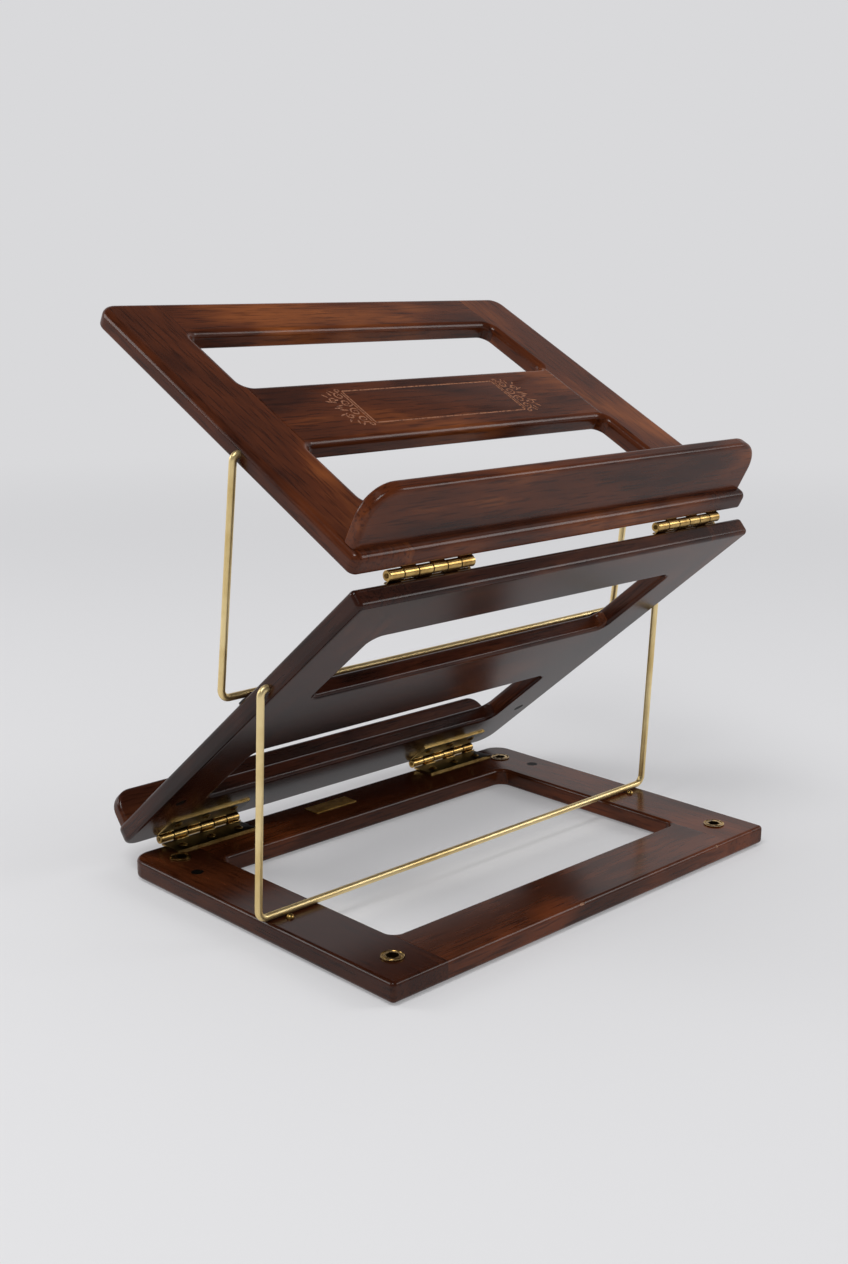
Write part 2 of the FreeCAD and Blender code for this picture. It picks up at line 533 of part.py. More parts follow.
# Base fittings: threaded inserts by the corners, stop screws in front of the lower bail's bar,
# magnets that hold the folded frames shut, a blank brass plate and a thin rubber ring as a foot
# under each insert, so that a machine screw can come in from below.
for hand, sign in SIDES:
    for end, way in (("front", -1), ("back", 1)):
        name = f"insert_{end}_{hand}"
        metal = joined(f"{name}_metal", [
            rod(f"{name}_sleeve", ("0", "0", "-{base_thickness}"), "{insert_body_radius}",
                "{base_thickness}"),
            rod(f"{name}_flange", ("0", "0", "0"), "{insert_flange_radius}", "{insert_flange_height}")])
        socket = doc.addObject("Part::Prism", f"{name}_socket")
        socket.Polygon = 6
        bind(socket, Circumradius="{insert_socket_width} / 2 / cos(30)", Height="{insert_socket_depth} + 1",
             Placement__Base__z="{insert_flange_height} - {insert_socket_depth}")
        bore = rod(f"{name}_bore", ("0", "0", "-{base_thickness} - 1"), "{insert_bore_radius}",
                   "{base_thickness} + 2")
        spot = place(f"{sign} * {INSERT_ACROSS}", f"{BASE_MIDDLE} + {way} * {INSERT_ALONG}",
                     "{base_thickness}")
        node(boolean("Cut", name, metal, joined(f"{name}_hollow", [socket, bore])), name,
             f"{BASE_PLACE} * {spot}")
        name = f"foot_{end}_{hand}"
        pad = rod(f"{name}_pad", ("0", "0", "0"), "{foot_radius}", "{foot_height}")
        bore = rod(f"{name}_bore", ("0", "0", "-1"), "{insert_bore_radius}", "{foot_height} + 2")
        below = place(up="-{foot_height} - {base_thickness}")
        node(boolean("Cut", f"{name}_ring", pad, bore), name, f"{BASE_PLACE} * {spot} * {below}")
    pieces = screw(f"stop_screw_{hand}_piece", "0", "0", "0", "{stop_head_radius}", "{stop_head_height}")
    spot = place(f"{sign} * {STOP_ACROSS}", STOP_ALONG, "{base_thickness}")
    node(joined(f"stop_screw_{hand}_parts", pieces), f"stop_screw_{hand}", f"{BASE_PLACE} * {spot}")
    for carrier, frame, along, up in (
            ("base", BASE_PLACE, f"{BASE_AXIS} - {{magnet_reach}}", "{base_thickness} - {magnet_depth}"),
            ("middle", MIDDLE_PLACE, "{hinge_overhang} + {magnet_reach}", "0")):
        magnet = doc.addObject("Part::Cylinder", f"{carrier}_magnet_{hand}_disc")
        bind(magnet, Radius="{magnet_radius}", Height="{magnet_depth}")
        across = sign if carrier == "base" else -sign
        node(magnet, f"{carrier}_magnet_{hand}",
             f"{frame} * " + place(f"{across} * {MAGNET_ACROSS}", along, up))
plate = box("plate_sheet", ("0", "0", "0"), ("{plate_length}", "{plate_width}", "{plate_thickness}"))
node(plate, "blank_plate",
     f"{BASE_PLACE} * " + place("{plate_across} - {plate_length} / 2",
                                "{base_depth} - {plate_inset} - {plate_width} / 2", "{base_thickness}"))

doc.recompute()
for item in doc.Objects:
    if "Invalid" in item.State or "Error" in item.State:
        raise RuntimeError(f"{item.Label} did not build: {item.State}")
os.makedirs("parts", exist_ok=True)
for item in nodes:
    if item.Shape.isNull() or not item.Shape.isValid():
        raise RuntimeError(f"{item.Label} has no valid shape")
    item.Shape.exportStep(f"parts/{item.Label}.step")
print(len(nodes), "parts written")
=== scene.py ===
import math

import bpy
from mathutils import Matrix, Vector


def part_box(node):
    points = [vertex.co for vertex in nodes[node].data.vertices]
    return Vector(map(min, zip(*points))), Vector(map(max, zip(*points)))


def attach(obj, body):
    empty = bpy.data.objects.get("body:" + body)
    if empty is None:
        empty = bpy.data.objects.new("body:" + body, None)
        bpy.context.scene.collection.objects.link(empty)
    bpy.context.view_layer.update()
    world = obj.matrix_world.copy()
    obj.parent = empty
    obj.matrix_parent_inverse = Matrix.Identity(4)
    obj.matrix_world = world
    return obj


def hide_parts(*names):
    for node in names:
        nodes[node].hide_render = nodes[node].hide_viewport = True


# A folding book stand of lacquered mahogany-coloured boards with brass fittings.
# X runs across it, the reader sits on the -Y side and the table is at Z = 0. Lengths are metres.
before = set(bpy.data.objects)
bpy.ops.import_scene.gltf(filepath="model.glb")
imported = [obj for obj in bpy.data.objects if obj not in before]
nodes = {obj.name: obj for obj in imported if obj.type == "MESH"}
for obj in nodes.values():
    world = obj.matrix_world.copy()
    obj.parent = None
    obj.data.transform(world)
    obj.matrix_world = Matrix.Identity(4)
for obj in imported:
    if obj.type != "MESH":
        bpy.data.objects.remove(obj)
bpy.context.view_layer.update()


# Base frame: two full-length side boards with a front and a back rail tenoned between them,
# planed from one dark stained board stock, edges routed round and the whole lacquered.
MM = 0.001


def linear(hex_colour):
    """The linear RGBA of an sRGB hex colour."""
    channels = [int(hex_colour[i:i + 2], 16) / 255 for i in (1, 3, 5)]
    return [c / 12.92 if c <= 0.04045 else ((c + 0.055) / 1.055) ** 2.4 for c in channels] + [1.0]


def add_node(tree, kind, settings=(), links=()):
    """A shader node with its settings, socket values, ramp stops and incoming links."""
    item = tree.nodes.new(kind)
    for name, value in dict(settings).items():
        if name == "stops":
            stops = item.color_ramp.elements
            while len(stops) < len(value):
                stops.new(0.5)
            for stop, (position, colour) in zip(stops, value):
                stop.position = position
                stop.color = linear(colour)
        elif isinstance(name, str) and hasattr(item, name):
            setattr(item, name, value)
        else:
            item.inputs[name].default_value = value
    for name, source in dict(links).items():
        tree.links.new(source, item.inputs[name])
    return item


def new_material(name):
    """An empty node material with its output, and the tree to fill."""
    material = bpy.data.materials.new(name)
    material.use_nodes = True
    tree = material.node_tree
    tree.nodes.clear()
    return material, tree


def dress(item, material):
    """Gives a piece one material."""
    item.data.materials.clear()
    item.data.materials.append(material)


# Lacquered mahogany: planed, stained red-brown and brushed with clear gloss lacquer. It shows
# broad cloudy bands along the grain, fine streaks and short dark pores under a glassy coat. The
# real pores are 0.2 mm wide and are drawn 0.8 mm wide, so that they show.
STREAK_WIDTH = 2.5 * MM
BAND_WIDTH = 16 * MM
PATCH_WIDTH = 75 * MM
PORE_WIDTH = 0.8 * MM


def lacquered_mahogany(name, tilt, along_x, shift, dark, main, light):
    """One board's wood. tilt turns its frame about X, along_x says which way the grain runs, and
    shift moves the figure, so that no two boards are alike."""
    material, tree = new_material(f"lacquered_mahogany_{name}")
    place = add_node(tree, "ShaderNodeTexCoord")
    flat = add_node(tree, "ShaderNodeMapping",
                    {"Rotation": (-tilt, 0, 0), "Location": (shift * 0.37, shift * 0.53, shift * 0.19)},
                    {"Vector": place.outputs["Object"]})

    layers = {}
    for layer, width, stretch, detail, distortion in (("patches", PATCH_WIDTH, 1.6, 3.0, 1.0),
                                                      ("bands", BAND_WIDTH, 3.5, 3.0, 0.9),
                                                      ("streaks", STREAK_WIDTH, 9, 4.0, 0.3),
                                                      ("pores", PORE_WIDTH, 14, 2.0, 0.0)):
        scale = (1 / stretch, 1, 1) if along_x else (1, 1 / stretch, 1)
        drawn_out = add_node(tree, "ShaderNodeMapping", {"Scale": scale},
                             {"Vector": flat.outputs["Vector"]})
        layers[layer] = add_node(tree, "ShaderNodeTexNoise",
                                 {"Scale": 0.5 / width, "Detail": detail, "Distortion": distortion},
                                 {"Vector": drawn_out.outputs["Vector"]}).outputs["Fac"]
    cloudy = add_node(tree, "ShaderNodeMath", {"operation": "MULTIPLY_ADD", 1: 0.4},
                      {0: layers["bands"], 2: layers["patches"]})
    figure = add_node(tree, "ShaderNodeMath", {"operation": "MULTIPLY_ADD", 1: 0.2},
                      {0: layers["streaks"], 2: cloudy.outputs["Value"]})
    depth = add_node(tree, "ShaderNodeMapRange", {"From Min": 0.63, "From Max": 0.99},
                     {"Value": figure.outputs["Value"]})
    stain = add_node(tree, "ShaderNodeValToRGB", {"stops": ((0.0, dark), (0.5, main), (1.0, light))},
                     {"Fac": depth.outputs["Result"]})
    pore_dark = add_node(tree, "ShaderNodeValToRGB", {"stops": ((0.34, "#8A7C76"), (0.48, "#FFFFFF"))},
                         {"Fac": layers["pores"]})
    mixed = add_node(tree, "ShaderNodeMix", {"data_type": "RGBA", "blend_type": "MULTIPLY", 0: 0.6},
                     {6: stain.outputs["Color"], 7: pore_dark.outputs["Color"]})
    bump = add_node(tree, "ShaderNodeBump", {"Strength": 0.04, "Distance": 0.1 * MM},
                    {"Height": layers["pores"]})
    shader = add_node(tree, "ShaderNodeBsdfPrincipled",
                      {"Roughness": 0.5, "Specular IOR Level": 0.0, "Coat Weight": 0.65,
                       "Coat IOR": 1.42, "Coat Roughness": 0.2},
                      {"Base Color": mixed.outputs[2], "Coat Normal": bump.outputs["Normal"]})
    add_node(tree, "ShaderNodeOutputMaterial", links={"Surface": shader.outputs["BSDF"]})
    return material


BASE_BOARDS = (("base_left_stile", False), ("base_right_stile", False), ("base_front_rail", True),
               ("base_back_rail", True))
for number, (name, along_x) in enumerate(BASE_BOARDS):
    wood = lacquered_mahogany(name, 0, along_x, 2 * number + 3, "#30150B", "#43200F", "#683318")
    dress(nodes[name], wood)


# Feet: thin rubber rings stuck under the base, one round the mouth of each insert. The stand
# rests on them and they keep it from sliding. Moulded black rubber is matt and nearly black.
rubber, tree = new_material("matt_black_rubber")
shader = add_node(tree, "ShaderNodeBsdfPrincipled",
                  {"Base Color": linear("#161616"), "Roughness": 0.75})
add_node(tree, "ShaderNodeOutputMaterial", links={"Surface": shader.outputs["BSDF"]})
for end in ("front", "back"):
    for hand in ("left", "right"):
        foot = nodes[f"foot_{end}_{hand}"]
        dress(foot, rubber)


# Inserts: turned brass bushes with a flange and a hexagon socket, screwed in by each corner of
# the base. A groove turned in the flange leaves a thin outer rim and a broad inner ring.
def brass(name, colour, tarnish, roughness, cloud, share=0.5):
    """Unlacquered yellow brass, warm and bright where it is rubbed. Its brown tarnish lies in soft
    clouds of the given size over the given share of it."""
    material, tree = new_material(name)
    place = add_node(tree, "ShaderNodeTexCoord")
    clouds = add_node(tree, "ShaderNodeTexNoise",
                      {"Scale": 1 / cloud, "Detail": 4.0, "Roughness": 0.6},
                      {"Vector": place.outputs["Object"]})
    tone = add_node(tree, "ShaderNodeValToRGB",
                    {"stops": ((0.35, tarnish), (0.35 + 0.5 * share, colour))},
                    {"Fac": clouds.outputs["Fac"]})
    shader = add_node(tree, "ShaderNodeBsdfPrincipled", {"Metallic": 1.0, "Roughness": roughness},
                      {"Base Color": tone.outputs["Color"]})
    add_node(tree, "ShaderNodeOutputMaterial", links={"Surface": shader.outputs["BSDF"]})
    return material


def pick(item):
    """Selects one object alone and makes it the active one."""
    bpy.ops.object.select_all(action="DESELECT")
    item.select_set(True)
    bpy.context.view_layer.objects.active = item


MERGE_WITHIN = 0.001 * MM


def detailed_copy(name):
    """A copy of a CAD piece with its corners merged, ready to be cut."""
    piece = bpy.data.objects.new(f"{name}_detailed", nodes[name].data.copy())
    bpy.context.collection.objects.link(piece)
    pick(piece)
    bpy.ops.object.mode_set(mode="EDIT")
    bpy.ops.mesh.select_all(action="SELECT")
    bpy.ops.mesh.remove_doubles(threshold=MERGE_WITHIN)
    bpy.ops.object.mode_set(mode="OBJECT")
    return piece


def apply_place(item, matrix):
    """Moves the mesh itself, so that its object stays at the origin."""
    item.data.transform(matrix @ item.matrix_basis)
    item.matrix_basis = Matrix()


def remove(item):
    """Deletes a tool or a worked original."""
    pick(item)
    bpy.ops.object.delete()


def cut_out(piece, tool):
    """Cuts the tool out of the piece. The faces it leaves keep the tool's material."""
    joint = piece.modifiers.new("joint", "BOOLEAN")
    joint.operation = "DIFFERENCE"
    joint.object = tool
    joint.solver = "EXACT"
    joint.use_self = True
    joint.material_mode = "TRANSFER"
    pick(piece)
    bpy.ops.object.modifier_apply(modifier=joint.name)
    remove(tool)


def smooth(piece):
    """Rounds look round and flat faces stay flat."""
    pick(piece)
    bpy.ops.object.shade_smooth_by_angle(angle=math.radians(35))
    flatten = piece.modifiers.new("flat faces stay flat", "WEIGHTED_NORMAL")
    flatten.weight = 100
    flatten.keep_sharp = True
    bpy.ops.object.modifier_apply(modifier=flatten.name)


def moved_copy(piece, name, matrix):
    """A copy with its own mesh, moved in the mesh."""
    twin = bpy.data.objects.new(name, piece.data.copy())
    bpy.context.collection.objects.link(twin)
    twin.data.transform(matrix)
    return twin


def stand_for(piece, name, body):
    """Puts a detailed piece in its CAD node's stead."""
    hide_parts(name)
    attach(piece, body)


def centre_and_top(name):
    """The middle of a CAD piece's box and the height of its top."""
    low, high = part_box(name)
    return (Vector(low) + Vector(high)) / 2, high[2]


GROOVE_RADIUS = 5.9 * MM
GROOVE_DEPTH = 0.45 * MM
SOCKET_RADIUS = 4.3 * MM
BELOW_FLANGE = 0.1 * MM
insert_brass = brass("turned_brass", "#CFAC6C", "#8A6A34", 0.26, 6 * MM)
# Inside sockets, screw slots and the joints between knuckles the brass is painted nearly black:
# tarnish that is never rubbed off there, and painted shade of these deep recesses.
tarnish_and_recess_shade = brass("tarnished_brass_painted_shade_inside", "#3A2A14", "#241A0C", 0.6, 4 * MM)
insert = detailed_copy("insert_front_left")
dress(insert, insert_brass)
middle, top = centre_and_top("insert_front_left")
bpy.ops.object.select_all(action="DESELECT")
bpy.ops.mesh.primitive_torus_add(location=(middle.x, middle.y, top), major_segments=48,
                                 minor_segments=8, major_radius=GROOVE_RADIUS,
                                 minor_radius=GROOVE_DEPTH)
groove = bpy.context.object
apply_place(groove, Matrix())
dress(groove, insert_brass)
cut_out(insert, groove)
# The faces inside the hexagon socket get the nearly black brass: painted shade in the socket.
insert.data.materials.append(tarnish_and_recess_shade)
socket_mouth = Vector((middle.x, middle.y, top - BELOW_FLANGE))
for face in insert.data.polygons:
    from_mouth = face.center - socket_mouth
    if from_mouth.to_2d().length < SOCKET_RADIUS and from_mouth.z < 0:
        face.material_index = 1
smooth(insert)
for end in ("front", "back"):
    for hand in ("left", "right"):
        name = f"insert_{end}_{hand}"
        move = Matrix.Translation(centre_and_top(name)[0] - middle)
        stand_for(moved_copy(insert, f"{name}_detailed", move), name, "base")
remove(insert)


# Nicks: two dents that knocks have left in the front rail's upper edge, where the lacquer is gone
# and the pale fibres of the bare wood show, dry and matt.
FIBRE_WIDTH = 0.4 * MM
# Each nick has its place across and half its length.
NICKS = ((-17.8 * MM, 2.4 * MM), (121 * MM, 1.6 * MM))
NICK_SIZE = (0.9 * MM, 0.8 * MM)
NICK_IN = 0.5 * MM
NICK_DOWN = 0.9 * MM
bare_wood, tree = new_material("bare_mahogany_in_a_nick")
place = add_node(tree, "ShaderNodeTexCoord")
fibres = add_node(tree, "ShaderNodeTexNoise", {"Scale": 0.5 / FIBRE_WIDTH, "Detail": 2.0},
                  {"Vector": place.outputs["Object"]})
tone = add_node(tree, "ShaderNodeValToRGB", {"stops": ((0.4, "#6A4430"), (0.6, "#B08A70"))},
                {"Fac": fibres.outputs["Fac"]})
shader = add_node(tree, "ShaderNodeBsdfPrincipled", {"Roughness": 0.7},
                  {"Base Color": tone.outputs["Color"]})
add_node(tree, "ShaderNodeOutputMaterial", links={"Surface": shader.outputs["BSDF"]})
front_rail = detailed_copy("base_front_rail")
dress(front_rail, nodes["base_front_rail"].data.materials[0])
rail_low, rail_high = (Vector(corner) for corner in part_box("base_front_rail"))
for across, length in NICKS:
    spot = (across, rail_low.y + NICK_IN, rail_high.z - NICK_DOWN)
    bpy.ops.object.select_all(action="DESELECT")
    bpy.ops.mesh.primitive_ico_sphere_add(subdivisions=3, radius=1, location=spot,
                                          scale=(length, *NICK_SIZE))
    dent = bpy.context.object
    apply_place(dent, Matrix())
    dress(dent, bare_wood)
    cut_out(front_rail, dent)
smooth(front_rail)
stand_for(front_rail, "base_front_rail", "base")


# Plate: a small plain piece of thin brass sheet with rounded corners, glued to the back rail
# between the hinges. It is blank, and its rolled surface has a soft, dull shine.
plate_brass = brass("thin_brass_sheet", "#F0C878", "#C08E40", 0.5, 12 * MM)
dress(nodes["blank_plate"], plate_brass)


# Stop screws: round-headed brass wood screws driven into the side boards, one in front of each
# end of the lower wire's bar. A cross recess is pressed into each head.
CROSS_SLOT = 0.6 * MM
CROSS_TURNS = (31, 121)
STOP_CROSS = (2.8 * MM, 0.9 * MM)
screw_brass = brass("pressed_brass_screw_head", "#BF9C5C", "#7A5C2C", 0.3, 4 * MM)


def cross_cutter(width, depth):
    """Two crossed bars, to be sunk into a screw head whose top is at the origin."""
    bars = []
    for turned in CROSS_TURNS:
        bpy.ops.object.select_all(action="DESELECT")
        bpy.ops.mesh.primitive_cube_add(size=1, scale=(width, CROSS_SLOT, 2 * depth))
        bars.append(bpy.context.object)
        apply_place(bars[-1], Matrix.Rotation(math.radians(turned), 4, "Z"))
        # The bars pass their nearly black brass to the slot walls: painted shade in the recess.
        dress(bars[-1], tarnish_and_recess_shade)
    bars[0].select_set(True)
    bpy.ops.object.join()
    return bpy.context.object


stop_screw = detailed_copy("stop_screw_left")
dress(stop_screw, screw_brass)
middle, top = centre_and_top("stop_screw_left")
cutter = cross_cutter(*STOP_CROSS)
apply_place(cutter, Matrix.Translation((middle.x, middle.y, top)))
cut_out(stop_screw, cutter)
smooth(stop_screw)
for hand in ("left", "right"):
    name = f"stop_screw_{hand}"
    move = Matrix.Translation(centre_and_top(name)[0] - middle)
    stand_for(moved_copy(stop_screw, f"{name}_detailed", move), name, "base")
remove(stop_screw)


# Magnets: small discs of dark plated magnet steel, pressed flush into the side boards of the base
# and the middle frame. They look nearly black, with a dull metal shine.
magnet_steel, tree = new_material("dark_plated_magnet")
shader = add_node(tree, "ShaderNodeBsdfPrincipled",
                  {"Base Color": linear("#1E1A18"), "Metallic": 1.0, "Roughness": 0.6})
add_node(tree, "ShaderNodeOutputMaterial", links={"Surface": shader.outputs["BSDF"]})
for carrier in ("base", "middle"):
    for hand in ("left", "right"):
        magnet = nodes[f"{carrier}_magnet_{hand}"]
        dress(magnet, magnet_steel)


# Middle frame: side boards with three rails, leaning back over the base, and a low ledge
# glued across its lower end. Two small cleats on its face carry the upper wire's bar.
LEAN = math.radians(40)
MIDDLE_BOARDS = (("middle_left_stile", False), ("middle_right_stile", False),
                 ("middle_lower_rail", True), ("middle_centre_rail", True),
                 ("middle_upper_rail", True), ("middle_ledge", True),
                 ("bar_rest_left", True), ("bar_rest_right", True))
# Its boards are given darker tones than the base's: painted shade on the frame's underside, which faces
# the camera.
for number, (name, along_x) in enumerate(MIDDLE_BOARDS):
    wood = lacquered_mahogany(name, -LEAN, along_x, number + 11, "#1D0D08", "#36190F", "#5C311B")
    dress(nodes[name], wood)


# Top board: side boards with three rails, sloping up away from the reader, and a tall ledge
# with round shoulders that stops the book from sliding off.
SLOPE = math.radians(27.8)
TOP_BOARDS = (("top_left_stile", False), ("top_right_stile", False), ("top_front_rail", True),
              ("top_centre_rail", True), ("top_back_rail", True), ("top_ledge", True))
# Its boards are given lighter tones than the base's: painted light on the face that slopes up towards
# the light.
for number, (name, along_x) in enumerate(TOP_BOARDS):
    wood = lacquered_mahogany(name, SLOPE, along_x, number + 23, "#37180C", "#552812", "#834720")
    dress(nodes[name], wood)


# Carved border: two fine lines along the centre rail between bands of traditional scrollwork, cut
# 0.5 mm deep with a round-nosed cutter. The cut wood is bare, so it is paler and not glossy, and
# it is mottled by the cutter's marks.
CUT_MARK = 0.8 * MM
LINE_ACROSS = 66.5
BORDER_HALF = 17.85
BORDER_UP = 1.1 * MM
CUTTER_RADIUS = 0.6 * MM
carved_wood, tree = new_material("bare_carved_mahogany")
place = add_node(tree, "ShaderNodeTexCoord")
cut_marks = add_node(tree, "ShaderNodeTexNoise", {"Scale": 0.5 / CUT_MARK, "Detail": 2.0},
                     {"Vector": place.outputs["Object"]})
tone = add_node(tree, "ShaderNodeValToRGB", {"stops": ((0.34, "#5A3020"), (0.52, "#A06C4E"))},
                {"Fac": cut_marks.outputs["Fac"]})
shader = add_node(tree, "ShaderNodeBsdfPrincipled", {"Roughness": 0.5},
                  {"Base Color": tone.outputs["Color"]})
add_node(tree, "ShaderNodeOutputMaterial", links={"Surface": shader.outputs["BSDF"]})


def scroll(across, along, size, start, sweep, turns_in=0.22):
    """Points in millimetres, with shares of the cutter's width, of one scroll that winds in."""
    steps = 20
    points = []
    for step in range(steps + 1):
        done = step / steps
        radius = size * (1 - (1 - turns_in) * done)
        angle = math.radians(start + sweep * done)
        points.append((across + radius * math.cos(angle), along + radius * math.sin(angle),
                       0.35 + 0.65 * math.sin(math.pi * min(1, 0.15 + done))))
    return points


def leaf(across, along, direction, length):
    """One pointed leaf stroke, widest in its middle."""
    angle = math.radians(direction)
    return [(across + length * done * math.cos(angle), along + length * done * math.sin(angle),
             0.3 + 0.8 * math.sin(math.pi * done))
            for done in (0, 0.25, 0.5, 0.75, 1)]


# Half of the right-hand band is drawn, in millimetres from its inner line and from the rail's
# middle, and mirrored across both.
half_band = [scroll(6.4, 4.9, 4.0, 205, 500), scroll(6.0, 12.9, 3.7, 115, -470),
             scroll(13.6, 8.9, 3.1, 265, 450), scroll(3.2, 18.6, 2.0, -80, 400, 0.4),
             leaf(10.3, 3.0, -12, 6.4), leaf(16.2, 6.6, 22, 4.6), leaf(15.4, 12.0, 50, 4.4),
             leaf(11.6, 13.4, 78, 4.6), leaf(8.0, 16.4, 48, 4.2), leaf(9.8, 9.2, -30, 2.8)]
right_band = half_band + [[(u, -v, width) for u, v, width in stroke] for stroke in half_band]
right_band += [leaf(12.4, 0, 0, 7.0), [(0, -BORDER_HALF, 1), (0, BORDER_HALF, 1)],
               [(2.0, -BORDER_HALF + 1.6, 0.7), (2.0, BORDER_HALF - 1.6, 0.7)]]
strokes = [[(LINE_ACROSS + u, v, width) for u, v, width in stroke] for stroke in right_band]
strokes += [[(-u, v, width) for u, v, width in stroke] for stroke in strokes]
strokes += [[(-LINE_ACROSS, side * BORDER_HALF, 1), (LINE_ACROSS, side * BORDER_HALF, 1)]
            for side in (-1, 1)]
drawing = bpy.data.curves.new("carved_border", "CURVE")
drawing.dimensions = "3D"
drawing.bevel_depth = CUTTER_RADIUS
drawing.bevel_resolution = 1
drawing.use_fill_caps = True
for stroke in strokes:
    line = drawing.splines.new("POLY")
    line.points.add(len(stroke) - 1)
    for point, (u, v, width) in zip(line.points, stroke):
        point.co = (u * MM, v * MM, 0, 1)
        point.radius = width
cutter = bpy.data.objects.new("carved_border", drawing)
bpy.context.collection.objects.link(cutter)
pick(cutter)
bpy.ops.object.convert(target="MESH")
cutter = bpy.context.object
dress(cutter, carved_wood)
up_slope = Vector((0, math.cos(SLOPE), math.sin(SLOPE)))
out_of_face = Vector((0, -math.sin(SLOPE), math.cos(SLOPE)))
corners = [vertex.co for vertex in nodes["top_centre_rail"].data.vertices]
face_height = max(corner.dot(out_of_face) for corner in corners)
rail_ends = [extreme(corner.dot(up_slope) for corner in corners) for extreme in (min, max)]
border_middle = sum(rail_ends) / 2 + BORDER_UP
apply_place(cutter, Matrix.Translation(out_of_face * face_height + up_slope * border_middle)
            @ Matrix.Rotation(SLOPE, 4, "X"))
carved_rail = detailed_copy("top_centre_rail")
dress(carved_rail, nodes["top_centre_rail"].data.materials[0])
cut_out(carved_rail, cutter)
smooth(carved_rail)
stand_for(carved_rail, "top_centre_rail", "top")


# Butt hinges: two pressed brass leaves whose knuckles are rolled round a brass pin, with three
# round-headed screws a leaf. The knuckles and edges are rubbed bright; the flats are tarnished,
# and darkened further by painted shade.
knuckle_brass = brass("rubbed_brass_knuckles", "#C9A868", "#947440", 0.27, 12 * MM)
tarnished_and_shaded_flat_brass = brass("tarnished_and_shaded_brass_leaf", "#32240F", "#1C1408", 0.36, 6 * MM, 0.7)
HINGE_LENGTH = 65 * MM
KNUCKLES = 6
KNUCKLE_GAP = 0.3 * MM
KNUCKLE_PITCH = (HINGE_LENGTH + KNUCKLE_GAP) / KNUCKLES
KNUCKLE_LENGTH = KNUCKLE_PITCH - KNUCKLE_GAP
KNUCKLE_RADIUS = 2.9 * MM
ROLLED_RADIUS = 3.15 * MM
RIM_BEVEL = 0.3 * MM
ROLLED_END = (KNUCKLE_LENGTH - 0.4 * MM, 1.1 * MM, 0.7 * MM)
ROLLED_END_AWAY = 4.3 * MM
ROLLED_END_PROUD = 0.1 * MM
ROLLED_END_BEVEL = 0.25 * MM
NEAR = 0.02 * MM
BRIGHT_END = 1 * MM
SCREW_LINE = 14 * MM
SCREW_PITCH = 23 * MM
LEAF_CROSS = (3.2 * MM, 0.7 * MM)
UP_THE_FRAME = Vector((0, -math.cos(LEAN), math.sin(LEAN)))
OVER_THE_FRAME = Vector((0, math.sin(LEAN), math.cos(LEAN)))
# Each leaf has its hinge, its board's body, the way from the pin over it and the way out of it.
LEAVES = (("lower", "base", Vector((0, -1, 0)), Vector((0, 0, 1))),
          ("lower", "middle", UP_THE_FRAME, -OVER_THE_FRAME),
          ("upper", "middle", -UP_THE_FRAME, OVER_THE_FRAME),
          ("upper", "top", up_slope, -out_of_face))


def leaf_place(level, hand, away, out):
    """Where a leaf lies: X along its pin, Y away from the pin over the leaf, Z out of its face."""
    middle = centre_and_top(f"{level}_{hand}_hinge_pin")[0]
    return Matrix.Translation(middle) @ Matrix((away.cross(out), away, out)).transposed().to_4x4()


def rolled_end(across, up):
    """The strip along a knuckle where the rolled sheet ends on its leaf."""
    bpy.ops.object.select_all(action="DESELECT")
    bpy.ops.mesh.primitive_cube_add(size=1, scale=ROLLED_END)
    strip = bpy.context.object
    apply_place(strip, Matrix.Translation((across, ROLLED_END_AWAY, up)))
    bpy.ops.object.mode_set(mode="EDIT")
    bpy.ops.mesh.select_all(action="SELECT")
    bpy.ops.mesh.bevel(offset=ROLLED_END_BEVEL, segments=3)
    bpy.ops.object.mode_set(mode="OBJECT")
    dress(strip, knuckle_brass)
    return strip


# The leaf and its screws are worked once, lying flat at the origin, and copied to every hinge.
# The rolled knuckles are a little thicker than the plain CAD barrel.
level, carrier, away, out = LEAVES[0]
first_place = leaf_place(level, "left", away, out)
hinge_leaf = detailed_copy("lower_left_hinge_base_leaf")
hinge_leaf.data.transform(first_place.inverted())
for vertex in hinge_leaf.data.vertices:
    from_pin = Vector((0, vertex.co.y, vertex.co.z))
    if abs(from_pin.length - KNUCKLE_RADIUS) < NEAR:
        vertex.co += from_pin.normalized() * (ROLLED_RADIUS - KNUCKLE_RADIUS)
# The knuckles' rims are filed off, so the joints between them show as dark lines.
bpy.ops.object.mode_set(mode="EDIT")
bpy.ops.mesh.select_mode(type="EDGE")
bpy.ops.mesh.select_all(action="DESELECT")
bpy.ops.object.mode_set(mode="OBJECT")
for edge in hinge_leaf.data.edges:
    ends = [hinge_leaf.data.vertices[number].co for number in edge.vertices]
    round_rim = all(abs(math.hypot(end.y, end.z) - ROLLED_RADIUS) < NEAR for end in ends)
    edge.select = round_rim and abs(ends[0].x - ends[1].x) < NEAR
bpy.ops.object.mode_set(mode="EDIT")
bpy.ops.mesh.bevel(offset=RIM_BEVEL, segments=2)
bpy.ops.mesh.select_mode(type="VERT")
bpy.ops.object.mode_set(mode="OBJECT")
dress(hinge_leaf, knuckle_brass)
# The flats' brass is darkened by painted shade as well as by tarnish.
hinge_leaf.data.materials.append(tarnished_and_shaded_flat_brass)
hinge_leaf.data.materials.append(tarnish_and_recess_shade)
